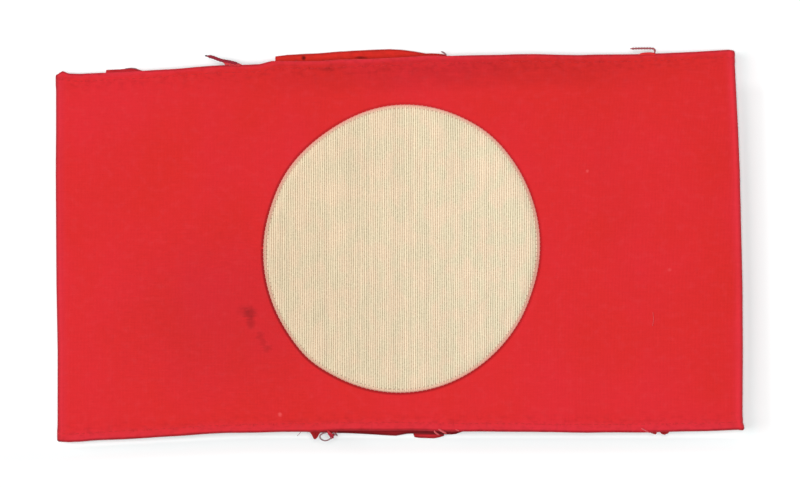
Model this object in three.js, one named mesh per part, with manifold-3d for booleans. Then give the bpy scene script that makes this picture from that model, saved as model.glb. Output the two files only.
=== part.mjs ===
import * as THREE from "three";
import { mergeVertices } from "three/addons/utils/BufferGeometryUtils.js";
import Module from "manifold-3d";

// A cloth armband, lying pressed flat on its back with its front up. A hemmed strip of cotton is lapped and
// sewn into a loop for the arm, and a round patch of ribbed cloth is sewn on its front.
// Millimetres, +Z up, +X to the right of the front, +Y towards its top hem, origin under the middle.

// The cloth
const WALL = 1.0;
const HEM_WIDTH = 6;
const HEM_EXTRA = 0.4; // what the turned-in cloth adds to the wall, on its inside
const STEP_WIDTH = 0.6; // over which the hem thins down to the wall
const FUSED = 0.05; // how deep the sewn layers of the lap sink into each other

// How the band lies
const HALF_LENGTH = 103;
const FOLD_GAP = 1.4; // between the walls beside a fold
const FOLD_RADIUS = WALL + FOLD_GAP / 2;
const FOLD_X = HALF_LENGTH - FOLD_RADIUS; // where a fold's round begins
const RISE = 5.3; // how much further apart the walls stand at the middle
const RISE_LENGTH = 75; // over which the front rises from a fold

// The lap at the back: the inner layer starts at its cut end, and the outer one ends under it
const LAP_START = -36.4;
const LAP_END = 13;
const LAP_RAMP = 6.5; // over which the inner layer comes down past the outer one's end

// The patch
const PATCH = {
  x: 0.5,
  y: -1.0,
  radius: 42.2,
  stretch: 0.94, // added to the radius along the long axis, and taken off across it
  longAxis: THREE.MathUtils.degToRad(75.8),
  thickness: 0.8,
  edgeRadius: 0.35,
  gap: 0.3, // to the front that it is sewn on
};

// Where the patch's edge runs outside that oval, or inside it: the middle and the spread are in degrees
const RIM_PULLS = [
  { angle: 121, spread: 20, out: -0.75 },
  { angle: 162, spread: 11, out: -0.25 },
  { angle: -130, spread: 9, out: 0.4 },
  { angle: -78, spread: 26, out: 0.15 },
  { angle: -19, spread: 9, out: -0.2 },
  { angle: 25, spread: 14, out: -0.15 },
  { angle: 53, spread: 9, out: 0.2 },
];

// The front's top and bottom edges, seen from above
const FRONT_EDGES = [
  { x: -103, top: 51.3, bottom: -59.0 },
  { x: -100.9, top: 52.2, bottom: -59.1 },
  { x: -99.2, top: 51.45, bottom: -59.15 },
  { x: -96, top: 51.3, bottom: -59.05 },
  { x: -91, top: 51.5, bottom: -58.6 },
  { x: -82, top: 51.9, bottom: -58.1 },
  { x: -76, top: 52.2, bottom: -57.8 },
  { x: -67, top: 52.8, bottom: -57.2 },
  { x: -60, top: 53.4, bottom: -56.7 },
  { x: -53, top: 53.8, bottom: -56.4 },
  { x: -41.2, top: 54.1, bottom: -56.1 },
  { x: -37.4, top: 55.0, bottom: -56.0 },
  { x: -23, top: 55.1, bottom: -55.8 },
  { x: -17, top: 55.5, bottom: -55.6 },
  { x: 1.5, top: 56.1, bottom: -55.6 },
  { x: 10.5, top: 56.7, bottom: -55.7 },
  { x: 17.5, top: 56.6, bottom: -55.8 },
  { x: 36, top: 57.15, bottom: -55.9 },
  { x: 43, top: 57.15, bottom: -56.1 },
  { x: 56, top: 56.85, bottom: -56.2 },
  { x: 72, top: 57.2, bottom: -56.1 },
  { x: 82, top: 57.5, bottom: -56.0 },
  { x: 92, top: 58.05, bottom: -55.8 },
  { x: 101.3, top: 58.5, bottom: -55.5 },
  { x: 103, top: 58.35, bottom: -55.65 },
];

// The creases at the two folds, seen from above
const FOLDS = [
  { y: -59, left: -102.7, right: 103.2 },
  { y: -54.6, left: -102.7, right: 103.1 },
  { y: -53, left: -102.7, right: 102.7 },
  { y: -32, left: -102.7, right: 102.8 },
  { y: -12, left: -103.1, right: 102.7 },
  { y: 4, left: -103.2, right: 102.3 },
  { y: 22, left: -103.3, right: 101.9 },
  { y: 34, left: -103.2, right: 101.4 },
  { y: 50, left: -103.2, right: 100.6 },
  { y: 59, left: -103.2, right: 100.2 },
];

// How far the back's two layers stand out past the front's edges
const OUTER_LAYER = [
  { x: -103, top: 0, bottom: 0 },
  { x: -97, top: -0.5, bottom: -0.4 },
  { x: -88.2, top: -0.5, bottom: -0.4 },
  { x: -87.8, top: 0.9, bottom: -0.4 },
  { x: -83.5, top: 0.9, bottom: -0.4 },
  { x: -81, top: 1.1, bottom: -0.4 },
  { x: -79, top: 1.0, bottom: -0.4 },
  { x: -76.8, top: 0.2, bottom: -0.4 },
  { x: -75.8, top: -0.5, bottom: -0.5 },
  { x: 3.3, top: -0.6, bottom: -0.4 },
  { x: 4.1, top: -0.6, bottom: 2.1 },
  { x: 5.6, top: -0.6, bottom: 2.3 },
  { x: 10, top: -0.6, bottom: 2.3 },
  { x: 11.5, top: -0.6, bottom: 2.0 },
  { x: 13, top: -0.6, bottom: 1.5 },
];
const INNER_LAYER = [
  { x: -36.4, top: 1.7, bottom: -0.5 },
  { x: -33, top: 2.1, bottom: -0.4 },
  { x: -28, top: 2.3, bottom: 0.4 },
  { x: -20, top: 2.5, bottom: 0.7 },
  { x: -12, top: 2.7, bottom: 1.1 },
  { x: -1.5, top: 2.75, bottom: 1.6 },
  { x: 2, top: 2.5, bottom: 1.0 },
  { x: 5.8, top: 1.8, bottom: 1.0 },
  { x: 9.4, top: 0.95, bottom: 1.1 },
  { x: 13, top: 0.85, bottom: 1.2 },
  { x: 15.2, top: 0.6, bottom: 1.15 },
  { x: 16.5, top: -0.3, bottom: 1.0 },
  { x: 19, top: -0.5, bottom: 0.1 },
  { x: 20.5, top: -0.5, bottom: -0.4 },
  { x: 97, top: -0.5, bottom: -0.4 },
  { x: 103, top: 0, bottom: 0 },
];
const FRONT = [
  { x: -103, top: 0, bottom: 0 },
  { x: 103, top: 0, bottom: 0 },
];

// Where the band is lifted off what it lies on: from 0 at "from" to its height at "to", over a reach in y
const LIFTS = [
  { from: 62, to: 103, y: 0, reach: 200, height: 1.6 },
  { from: -70, to: -103, y: -59, reach: 55, height: 1.2 },
];

// Troughs and swellings in the front: the middle, half sizes, turn in degrees, and height at the middle
const DENTS = [
  { x: 26, y: 50.5, across: 44, along: 3.6, turn: 1.0, height: -0.55 },
  { x: 58, y: 45.0, across: 20, along: 4.5, turn: -7.0, height: 0.35 },
  { x: -52, y: 48.0, across: 26, along: 4.0, turn: 6.0, height: -0.3 },
  { x: -66, y: -8.0, across: 9, along: 46.0, turn: -14.0, height: 0.3 },
  { x: 66, y: -14.0, across: 8, along: 44.0, turn: 12.0, height: 0.25 },
  { x: -20, y: -49.5, across: 46, along: 3.4, turn: 0.5, height: -0.3 },
];

// The spacing of the strip's cross sections, and of the rows between its hems
const BACK_STEP = 9;
const FRONT_STEP = 5;
const FOLD_STEPS = 6;
const ROWS_BETWEEN_HEMS = 6;
const PATCH_SIDES = 72;
const PATCH_RINGS = [0.35, 0.7, 0.9];

const RED_CLOTH = new THREE.MeshStandardMaterial({ color: 0xde3033, roughness: 0.85, metalness: 0 });
const PALE_RIBBED_CLOTH = new THREE.MeshStandardMaterial({ color: 0xe8d6b6, roughness: 0.7, metalness: 0 });

const { clamp, lerp, smoothstep } = THREE.MathUtils;

// A column of a table, read between the rows at a place in its key column
function columnAt(table, key, place, column) {
  const next = table.findIndex((row) => row[key] >= place);
  if (next === 0) return table[0][column];
  if (next < 0) return table.at(-1)[column];
  const [a, b] = [table[next - 1], table[next]];
  return lerp(a[column], b[column], (place - a[key]) / (b[key] - a[key]));
}

// Moves a nominal x, between straight folds a half length from the middle, to where the creases really run
function creasedX(x, y) {
  const left = columnAt(FOLDS, "y", y, "left");
  const right = columnAt(FOLDS, "y", y, "right");
  return lerp(left, right, (x + HALF_LENGTH) / (2 * HALF_LENGTH));
}

function liftAt(x, y) {
  let lift = 0;
  for (const { from, to, y: middle, reach, height } of LIFTS) {
    const along = smoothstep((x - from) / (to - from), 0, 1);
    const across = 1 - smoothstep(Math.abs(y - middle) / reach, 0, 1);
    lift += height * along * across;
  }
  return lift;
}

function dentsAt(x, y) {
  let height = 0;
  for (const dent of DENTS) {
    const turn = THREE.MathUtils.degToRad(dent.turn);
    const [dx, dy] = [x - dent.x, y - dent.y];
    const across = (dx * Math.cos(turn) + dy * Math.sin(turn)) / dent.across;
    const along = (dy * Math.cos(turn) - dx * Math.sin(turn)) / dent.along;
    height += dent.height * Math.exp(-(across * across + along * along));
  }
  return height;
}

// The outside of the front, over a nominal x
function frontHeight(x, y) {
  const fromFold = clamp((FOLD_X - Math.abs(x)) / RISE_LENGTH, 0, 1);
  const opened = 1 - (1 - fromFold) ** 2;
  return liftAt(x, y) + 2 * FOLD_RADIUS + RISE * opened + dentsAt(x, y) * opened;
}

// The outside of the inner layer is on the outer layer's inside up to that one's end, and then comes down
function innerLayerHeight(x, y) {
  const stillUp = 1 - smoothstep((x - LAP_END) / LAP_RAMP, 0.05, 1);
  return liftAt(x, y) + (WALL - FUSED) * stillUp;
}

// A place on the outside of the cloth and the direction into it, in the plane across the folds
function onTheBack(x, y, height) {
  return { x: creasedX(x, y), z: height(x, y), inX: 0, inZ: 1 };
}

function onTheFront(x, y) {
  return { x: creasedX(x, y), z: frontHeight(x, y), inX: 0, inZ: -1 };
}

// angle runs round the fold from -90 degrees, on the back, to 90, on the front; side is 1 at the right fold
function onAFold(side, angle, y) {
  const [across, up] = [side * Math.cos(angle), Math.sin(angle)];
  const middle = liftAt(side * FOLD_X, y) + FOLD_RADIUS;
  const x = creasedX(side * FOLD_X, y) + FOLD_RADIUS * across;
  return { x, z: middle + FOLD_RADIUS * up, inX: -across, inZ: -up };
}

// Nominal x's from one place to another, about a step apart, with the table's own x's among them
function placesBetween(from, to, step, table) {
  const kept = table.map((row) => row.x).filter((x) => x > Math.min(from, to) && x < Math.max(from, to));
  const ends = [from, to, ...kept].sort((a, b) => a - b);
  const places = [];
  for (let i = 1; i < ends.length; i++) {
    const count = Math.max(1, Math.round((ends[i] - ends[i - 1]) / step));
    for (let k = 0; k < count; k++) places.push(lerp(ends[i - 1], ends[i], k / count));
  }
  places.push(ends.at(-1));
  return from < to ? places : places.reverse();
}

// A station along the strip: its nominal x, the table of its edges, and where its cloth is at each y
const backStations = (from, to, layer, height) =>
  placesBetween(from, to, BACK_STEP, layer).map((x) => ({ x, layer, at: (y) => onTheBack(x, y, height) }));

const frontStations = (from, to) =>
  placesBetween(from, to, FRONT_STEP, FRONT_EDGES).map((x) => ({ x, layer: FRONT, at: (y) => onTheFront(x, y) }));

// turns run in steps from -1, on the back, to 1, on the front
function foldStations(side, fromTurn, toTurn) {
  const count = Math.round((Math.abs(toTurn - fromTurn) * FOLD_STEPS) / 2);
  return Array.from({ length: count + 1 }, (_, i) => {
    const angle = (lerp(fromTurn, toTurn, i / count) * Math.PI) / 2;
    const x = side * (FOLD_X + FOLD_RADIUS * Math.cos(angle));
    return { x, layer: FRONT, at: (y) => onAFold(side, angle, y) };
  });
}

// The wall's outline across the strip: outside from the bottom edge to the top one, and back along the inside
function wallOutline(bottom, top) {
  const thick = WALL + HEM_EXTRA;
  const round = thick / 2;
  const edge = [
    { inset: round, depth: 0 },
    { inset: round * (1 - Math.SQRT1_2), depth: round * (1 - Math.SQRT1_2) },
    { inset: 0, depth: round },
    { inset: round * (1 - Math.SQRT1_2), depth: round * (1 + Math.SQRT1_2) },
    { inset: round, depth: thick },
  ];
  const hemEnd = HEM_WIDTH + STEP_WIDTH;
  const between = (depth) =>
    Array.from({ length: ROWS_BETWEEN_HEMS - 1 }, (_, i) => ({
      y: lerp(bottom + hemEnd, top - hemEnd, (i + 1) / ROWS_BETWEEN_HEMS),
      depth,
    }));
  const atTop = ({ inset, depth }) => ({ y: top - inset, depth });
  const atBottom = ({ inset, depth }) => ({ y: bottom + inset, depth });
  const hemInside = [
    { inset: HEM_WIDTH, depth: thick },
    { inset: hemEnd, depth: WALL },
  ];
  return [
    { y: bottom + hemEnd, depth: 0 },
    ...between(0),
    { y: top - hemEnd, depth: 0 },
    ...edge.map(atTop),
    ...hemInside.map(atTop),
    ...between(WALL).reverse(),
    ...hemInside.toReversed().map(atBottom),
    ...edge.toReversed().map(atBottom),
  ];
}

function sectionAt({ x: nominalX, layer, at }) {
  const top = columnAt(FRONT_EDGES, "x", nominalX, "top") + columnAt(layer, "x", nominalX, "top");
  const bottom = columnAt(FRONT_EDGES, "x", nominalX, "bottom") - columnAt(layer, "x", nominalX, "bottom");
  const outline = wallOutline(bottom, top);
  const points = outline.map(({ y, depth }) => {
    const { x, z, inX, inZ } = at(y);
    return new THREE.Vector3(x + inX * depth, y, z + inZ * depth);
  });
  return { outline, points };
}

// A closed body through sections of equally many points, with a cap at either end
function loftedSolid(stations) {
  const sections = stations.map(sectionAt);
  const count = sections[0].points.length;
  const positions = sections.flatMap(({ points }) => points.flatMap((p) => p.toArray()));
  const triangles = [];
  for (let s = 0; s + 1 < sections.length; s++)
    for (let i = 0; i < count; i++) {
      const [a, b] = [s * count + i, s * count + ((i + 1) % count)];
      triangles.push(a, b, b + count, a, b + count, a + count);
    }
  const cap = (section, first, turned) => {
    const flat = section.outline.map(({ y, depth }) => new THREE.Vector2(y, depth));
    for (const [a, b, c] of THREE.ShapeUtils.triangulateShape(flat, []))
      triangles.push(...(turned ? [first + a, first + b, first + c] : [first + c, first + b, first + a]));
  };
  cap(sections[0], 0, false);
  cap(sections.at(-1), count * (sections.length - 1), true);
  const geometry = new THREE.BufferGeometry();
  geometry.setAttribute("position", new THREE.Float32BufferAttribute(positions, 3));
  geometry.setIndex(triangles);
  return geometry;
}

const wasm = await Module();
wasm.setup();

function toManifold(geometry) {
  const merged = mergeVertices(geometry, 1e-4);
  return new wasm.Manifold(
    new wasm.Mesh({
      numProp: 3,
      vertProperties: new Float32Array(merged.attributes.position.array),
      triVerts: new Uint32Array(merged.index.array),
    }),
  );
}

function toGeometry(solid) {
  const { vertProperties, triVerts } = solid.getMesh();
  const geometry = new THREE.BufferGeometry();
  geometry.setAttribute("position", new THREE.BufferAttribute(vertProperties, 3));
  geometry.setIndex(new THREE.BufferAttribute(triVerts, 1));
  geometry.computeVertexNormals();
  return geometry;
}

// One strip of cloth, from its cut end inside the lap round the right fold, over the front and round the left
// fold to its other end under the lap. The two lengths overlap in half of the left fold, and meet in the lap.
function makeBand() {
  const innerLength = [
    ...backStations(LAP_START, FOLD_X, INNER_LAYER, innerLayerHeight),
    ...foldStations(1, -1, 1).slice(1),
    ...frontStations(FOLD_X, -FOLD_X).slice(1),
    ...foldStations(-1, 1, 0).slice(1),
  ];
  const outerLength = [
    ...foldStations(-1, 1, -1),
    ...backStations(-FOLD_X, LAP_END, OUTER_LAYER, liftAt).slice(1),
  ];
  const whole = toManifold(loftedSolid(innerLength)).add(toManifold(loftedSolid(outerLength)));
  const band = new THREE.Mesh(toGeometry(whole), RED_CLOTH);
  band.name = "band";
  return band;
}

function patchRadius(angle) {
  let radius = PATCH.radius + PATCH.stretch * Math.cos(2 * (angle - PATCH.longAxis));
  for (const { angle: middle, spread, out } of RIM_PULLS) {
    const turned = THREE.MathUtils.euclideanModulo(THREE.MathUtils.radToDeg(angle) - middle + 180, 360) - 180;
    radius += out * Math.exp(-((turned / spread) ** 2));
  }
  return radius;
}

// The nominal x whose creased place is a real x at that y
function uncreasedX(x, y) {
  const left = columnAt(FOLDS, "y", y, "left");
  const right = columnAt(FOLDS, "y", y, "right");
  return -HALF_LENGTH + (2 * HALF_LENGTH * (x - left)) / (right - left);
}

// A round of cloth that follows the front, a gap above it, with a rounded edge
function makePatch() {
  const { gap, thickness, edgeRadius } = PATCH;
  const slant = edgeRadius * (1 - Math.SQRT1_2);
  const rings = [
    ...PATCH_RINGS.map((share) => ({ share, inset: 0, height: gap })),
    { share: 1, inset: edgeRadius, height: gap },
    { share: 1, inset: slant, height: gap + slant },
    { share: 1, inset: 0, height: gap + edgeRadius },
    { share: 1, inset: slant, height: gap + thickness - slant },
    { share: 1, inset: edgeRadius, height: gap + thickness },
    ...PATCH_RINGS.toReversed().map((share) => ({ share, inset: 0, height: gap + thickness })),
  ];
  const place = (angle, radius, height) => {
    const x = PATCH.x + radius * Math.cos(angle);
    const y = PATCH.y + radius * Math.sin(angle);
    return [x, y, frontHeight(uncreasedX(x, y), y) + height];
  };
  const positions = [...place(0, 0, gap), ...place(0, 0, gap + thickness)];
  for (const { share, inset, height } of rings)
    for (let i = 0; i < PATCH_SIDES; i++) {
      const angle = (2 * Math.PI * i) / PATCH_SIDES;
      positions.push(...place(angle, patchRadius(angle) * share - inset, height));
    }
  const ringPoint = (ring, i) => 2 + ring * PATCH_SIDES + (i % PATCH_SIDES);
  const triangles = [];
  for (let i = 0; i < PATCH_SIDES; i++) {
    triangles.push(0, ringPoint(0, i + 1), ringPoint(0, i));
    triangles.push(1, ringPoint(rings.length - 1, i), ringPoint(rings.length - 1, i + 1));
    for (let ring = 0; ring + 1 < rings.length; ring++) {
      const [a, b] = [ringPoint(ring, i), ringPoint(ring, i + 1)];
      const [c, d] = [ringPoint(ring + 1, i + 1), ringPoint(ring + 1, i)];
      triangles.push(a, b, c, a, c, d);
    }
  }
  const geometry = new THREE.BufferGeometry();
  geometry.setAttribute("position", new THREE.Float32BufferAttribute(positions, 3));
  geometry.setIndex(triangles);
  geometry.computeVertexNormals();
  const patch = new THREE.Mesh(geometry, PALE_RIBBED_CLOTH);
  patch.name = "patch";
  return patch;
}

const armband = new THREE.Group();
armband.add(makeBand(), makePatch());

// The origin is under the middle of the whole
const reach = new THREE.Box3().setFromObject(armband);
const middle = reach.getCenter(new THREE.Vector3());
armband.position.set(-middle.x, -middle.y, -reach.min.z);

export default armband;
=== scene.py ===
"""A cotton armband, lying pressed flat with its front up: a hemmed red band, lapped and sewn into a loop
at its back, and a round patch of pale ribbed cloth sewn on its front. Measures are in millimetres until
mesh_piece()."""

import math

import bpy
import numpy as np
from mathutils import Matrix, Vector


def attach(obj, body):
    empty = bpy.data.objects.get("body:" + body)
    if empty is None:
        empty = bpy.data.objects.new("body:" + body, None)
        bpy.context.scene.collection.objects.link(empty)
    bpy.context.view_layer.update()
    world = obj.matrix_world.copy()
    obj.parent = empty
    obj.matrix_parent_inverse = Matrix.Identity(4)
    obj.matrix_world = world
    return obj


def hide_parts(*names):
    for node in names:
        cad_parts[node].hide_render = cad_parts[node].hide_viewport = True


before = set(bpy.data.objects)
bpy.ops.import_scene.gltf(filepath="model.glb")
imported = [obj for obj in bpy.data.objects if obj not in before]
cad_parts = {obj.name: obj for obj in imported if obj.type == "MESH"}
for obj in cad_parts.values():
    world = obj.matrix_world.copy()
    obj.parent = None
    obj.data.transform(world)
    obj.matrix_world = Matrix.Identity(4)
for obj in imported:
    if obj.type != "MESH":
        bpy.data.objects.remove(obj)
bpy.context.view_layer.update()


def table(names, *rows):
    """Rows with named columns."""
    return [dict(zip(names.split(), row)) for row in rows]


# Where the measures' zero is in the row's frame
ROW_SHIFT = np.array([0.073, 0.199, 0.0])

# How the band lies
HALF_LENGTH = 103.0
FOLD_RADIUS = 1.7
FOLD_X = HALF_LENGTH - FOLD_RADIUS
FOLD_ARC = math.pi * FOLD_RADIUS
RISE = 5.3  # how much further apart front and back stand at the middle
RISE_LENGTH = 75.0
LAP_START = -36.4
LAP_END = 13.0
LAP_RAMP = 6.5  # over which the inner layer comes down past the outer one's end
LAYER = 0.95  # how far the inner layer lies above the outer one's outside

# The cloth
COTTON = 0.5
HEM = 3.8  # width
HEM_THICKNESS = 1.3  # of its three layers
HEM_RELIEF = 0.12  # how far the hem stands out from the cloth beside it
FOLD_RELIEF = 0.17  # and the folds
HEM_STEP = 1.6  # over which that relief ends
PUCKER = {"length": 4.6, "height": 0.035, "inset": 3.6, "spread": 2.2}
STITCH_INSET = {"top": 2.2, "bottom": 2.45}
STITCH_PITCH = 2.0
STRAY = 0.12  # how far a stitch's end may lie from its row
HEM_STITCH = {"length": 1.4, "shortest": 0.85, "longest": 1.08, "radius": 0.11}
LAP_STITCH = {"from_end": 2.6, "pitch": 2.2, "length": 1.7, "radius": 0.15, "first": 1.2, "last": 2.5}

# Soft grooves: in the hem along its stitches, in the front outside the patch's edge, in the front beside
# either fold, and in the patch along its own stitches
STITCH_GROOVE = {"depth": 0.05, "half_width": 0.5}
PATCH_GROOVE = {"depth": 0.16, "middle": 0.1, "half_width": 0.5}
FOLD_GROOVE = {"depth": 0.1, "middle": 2.2, "half_width": 0.35}
RIM_GROOVE = {"depth": 0.1, "middle": 1.1, "half_width": 0.45}

# The patch
PATCH = {
    "x": 0.5,
    "y": -1.0,
    "radius": 42.2,
    "stretch": 0.94,  # added along the long axis, and taken off across it
    "long_axis": math.radians(75.8),
    "under": 0.3,  # from the front to its underside, away from its sewn edge
    "free_inside": 3.0,  # how far in from the edge it lies free
    "thickness": 0.5,
    "edge_radius": 0.22,
    "rib_pitch": 0.664,
    "rib_height": 0.15,
    "ribs_inside": 0.7,  # how far in from the edge the ribs have their full height
    "stitches": 209,
}
PATCH_STITCH = {"inset": 1.0, "outer_inset": -0.08, "radius": 0.1, "lift": 0.03, "sunk": 0.16}

# Where the patch's edge runs outside that oval, or inside it; the angle and its spread are in degrees
RIM_PULLS = table(
    "angle spread out",
    (121, 20, -0.75),
    (162, 11, -0.25),
    (-130, 9, 0.4),
    (-78, 26, 0.15),
    (-19, 9, -0.2),
    (25, 14, -0.15),
    (53, 9, 0.2),
)

# The front's top and bottom edges, seen from above
FRONT_EDGES = table(
    "x top bottom",
    (-103, 51.3, -59.0),
    (-100.9, 52.2, -59.1),
    (-99.2, 51.45, -59.15),
    (-96, 51.3, -59.05),
    (-91, 51.5, -58.6),
    (-82, 51.9, -58.1),
    (-76, 52.2, -57.8),
    (-67, 52.8, -57.2),
    (-60, 53.4, -56.7),
    (-53, 53.8, -56.4),
    (-41.2, 54.1, -56.1),
    (-37.4, 55.0, -56.0),
    (-23, 55.1, -55.8),
    (-17, 55.5, -55.6),
    (1.5, 56.1, -55.6),
    (10.5, 56.7, -55.7),
    (17.5, 56.6, -55.8),
    (36, 57.15, -55.9),
    (43, 57.15, -56.1),
    (56, 56.85, -56.2),
    (72, 57.2, -56.1),
    (82, 57.5, -56.0),
    (92, 58.05, -55.8),
    (101.3, 58.5, -55.5),
    (103, 58.35, -55.65),
)

# The creases at the two folds, seen from above
FOLDS = table(
    "y left right",
    (-59, -102.7, 103.2),
    (-54.6, -102.7, 103.1),
    (-53, -102.7, 102.7),
    (-32, -102.7, 102.8),
    (-12, -103.1, 102.7),
    (4, -103.2, 102.3),
    (22, -103.3, 101.9),
    (34, -103.2, 101.4),
    (50, -103.2, 100.6),
    (59, -103.2, 100.2),
)

# How far the back's two layers stand out past the front's edges
OUTER_LAYER = table(
    "x top bottom",
    (-103, 0, 0),
    (-97, -0.5, -0.4),
    (-88.2, -0.5, -0.4),
    (-87.8, 0.9, -0.4),
    (-83.5, 0.9, -0.4),
    (-81, 1.1, -0.4),
    (-79, 1.0, -0.4),
    (-76.8, 0.2, -0.4),
    (-75.8, -0.5, -0.5),
    (3.3, -0.6, -0.4),
    (4.1, -0.6, 2.1),
    (5.6, -0.6, 2.3),
    (10, -0.6, 2.3),
    (11.5, -0.6, 2.0),
    (13, -0.6, 1.5),
)
INNER_LAYER = table(
    "x top bottom",
    (-36.4, 1.7, -0.5),
    (-33, 2.1, -0.4),
    (-28, 2.3, 0.4),
    (-20, 2.5, 0.7),
    (-12, 2.7, 1.1),
    (-1.5, 2.75, 1.6),
    (2, 2.5, 1.0),
    (5.8, 1.8, 1.0),
    (9.4, 0.95, 1.1),
    (13, 0.85, 1.2),
    (15.2, 0.6, 1.15),
    (16.5, -0.3, 1.0),
    (19, -0.5, 0.1),
    (20.5, -0.5, -0.4),
    (97, -0.5, -0.4),
    (103, 0, 0),
)

# Where the band is lifted off what it lies on: from 0 at start to its height at end, over a reach in y
LIFTS = table(
    "start end y reach height",
    (62, 103, 0, 200, 1.6),
    (-70, -103, -59, 55, 1.2),
)

# Troughs and swellings in the front: the middle, half sizes, turn in degrees, and height at the middle
DENTS = table(
    "x y across along turn height",
    (26, 50.5, 44, 3.6, 1.0, -0.55),
    (58, 45.0, 20, 4.5, -7.0, 0.35),
    (-52, 48.0, 26, 4.0, 6.0, -0.3),
    (-66, -8.0, 9, 46.0, -14.0, 0.3),
    (66, -14.0, 8, 44.0, 12.0, 0.25),
    (-20, -49.5, 46, 3.4, 0.5, -0.3),
)

# Fine creases in the front, given as the dents are
CREASES = table(
    "x y across along turn height",
    (53, 51.8, 13, 0.7, -2.0, -0.12),
    (-67, 50.6, 7, 0.5, 3.0, -0.08),
    (-22, 50.2, 12, 0.9, 2.0, -0.08),
    (97, 44.0, 0.5, 12.0, 1.5, -0.07),
)

# Faint waves in the cloth: which way they run in degrees, their length and height, and where they start
RIPPLES = table(
    "turn length height phase",
    (8, 31, 0.04, 0.4),
    (97, 23, 0.035, 2.1),
    (141, 13, 0.018, 4.0),
    (62, 8.5, 0.009, 1.2),
)

# Dark marks in the front's red cloth, with their half sizes
STAINS = table(
    "x y across along strength",
    (-44.9, -20.3, 2.7, 2.9, 0.42),
    (-46.9, -19.6, 2.6, 2.2, 0.18),
    (-44.6, -23.4, 2.0, 2.3, 0.3),
    (-41.9, -27.2, 1.9, 1.9, 0.2),
    (-41.0, -29.4, 1.6, 1.9, 0.16),
    (-39.8, -31.0, 2.1, 1.5, 0.22),
    (-52.0, -21.0, 46.0, 36.0, 0.11),
    (-20.5, 52.6, 3.6, 0.9, 0.3),
    (-15.8, 53.0, 1.8, 0.7, 0.14),
)

# Pale specks in the front, given in the same way
SPECKS = table(
    "x y across along strength",
    (-36.0, -50.7, 0.9, 0.9, 0.42),
    (57.0, 22.1, 0.8, 0.7, 0.34),
    (81.1, -7.4, 0.8, 0.8, 0.2),
)

# Dark marks in the back's inner layer, where it stands out past the top hem: a spot in the cloth, then
# painted shadow in the gap under the front's edge
PROUD_SPOT_AND_SHADOW = table(
    "x y across along strength",
    (-27.8, 56.1, 1.05, 0.95, 0.9),
    (-10.3, 56.2, 3.0, 0.65, 0.65),
)

# Loose threads, most of them at the hems: a route's points are x, y and how far they lie above the
# front's height there
THREADS = table(
    "dye plies radius route",
    ("dark", 3, 0.52, [(-57.8, 56.6, -1.4), (-56.0, 56.2, -1.0), (-53.6, 55.3, -0.6), (-51.0, 54.8, -0.2),
        (-48.2, 54.1, 0.1)]),
    ("black", 1, 0.34, [(-58.4, 56.7, -1.5), (-57.6, 56.6, -1.4)]),
    ("red", 2, 0.4, [(-53.2, 54.9, -0.5), (-51.6, 54.3, -0.3), (-49.8, 54.0, -0.1), (-47.6, 53.8, 0.1)]),
    ("red", 2, 0.34, [(-52.4, 53.9, -0.1), (-50.6, 54.4, -0.2), (-49.0, 54.2, -0.1), (-47.4, 53.9, 0.1)]),
    ("mauve", 2, 0.34, [(69.0, 58.8, -1.0), (73.0, 58.9, -0.6), (75.8, 58.8, -0.3), (76.3, 58.2, -0.1),
        (76.2, 57.2, 0.1)]),
    ("bright", 1, 0.42, [(71.5, 56.9, 0.1), (73.0, 57.2, 0.0), (75.0, 57.3, 0.0), (76.8, 57.0, 0.1)]),
    ("grey", 1, 0.25, [(12.3, 57.9, -0.9), (13.0, 57.6, -0.7), (13.9, 56.9, -0.2)]),
    ("grey", 1, 0.12, [(-82.6, 52.9, -4.6), (-80.8, 53.1, -4.6), (-79.0, 52.9, -4.5)]),
    ("grey", 1, 0.2, [(-22.0, -56.1, -0.5), (-23.1, -56.4, -0.8), (-23.9, -57.1, -1.1),
        (-23.8, -57.9, -1.3), (-22.9, -58.5, -1.5), (-21.9, -58.5, -1.5),
        (-20.9, -58.0, -1.3), (-20.2, -57.2, -1.1)]),
    ("crimson", 3, 0.55, [(-21.7, -55.8, -0.2), (-21.0, -56.5, -0.5), (-20.3, -57.2, -0.9),
        (-20.0, -57.8, -1.1)]),
    ("red", 2, 0.22, [(-21.7, -55.5, 0.2), (-20.9, -56.2, 0.1), (-19.9, -57.0, -0.5)]),
    ("grey", 1, 0.34, [(-20.0, -56.1, -0.2), (-19.3, -56.6, -0.5), (-18.7, -57.1, -0.8)]),
    ("grey", 1, 0.07, [(-29.7, -55.9, -0.5), (-30.2, -56.6, -0.9), (-30.8, -57.1, -1.3)]),
    ("pale", 2, 0.32, [(11.5, -55.1, 0.2), (12.6, -55.7, 0.2), (14.0, -56.5, -0.5)]),
    ("pale", 1, 0.25, [(10.3, -55.5, 0.1), (10.5, -56.0, -0.3), (11.7, -56.9, -1.5)]),
    ("pale", 1, 0.13, [(16.6, -55.2, 0.15), (17.7, -55.6, 0.1)]),
    ("pale", 2, 0.2, [(72.2, -54.9, 0.15), (73.4, -55.5, 0.15), (74.8, -56.2, -0.4)]),
    ("pale", 1, 0.05, [(75.7, -20.1, 0.02), (75.9, -22.2, 0.02), (75.6, -24.3, 0.02)]),
)

# Frayed places at the bottom hem: where their fibres start along it, and the tip where they meet
TUFTS = table(
    "start end tip fibres",
    (-27.1, -23.6, (-25.4, -57.9), 24),
    (-21.8, -18.4, (-20.6, -57.9), 12),
    (74.4, 77.2, (76.4, -56.5), 16),
    (77.9, 80.7, (79.4, -56.6), 16),
)


def column(rows, key, places, name):
    """A column of a table, read between the rows at places in its key column."""
    return np.interp(places, [row[key] for row in rows], [row[name] for row in rows])


def smooth(share):
    """From 0 to 1 as the share does, with a soft start and end."""
    share = np.clip(share, 0.0, 1.0)
    return share * share * (3.0 - 2.0 * share)


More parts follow.
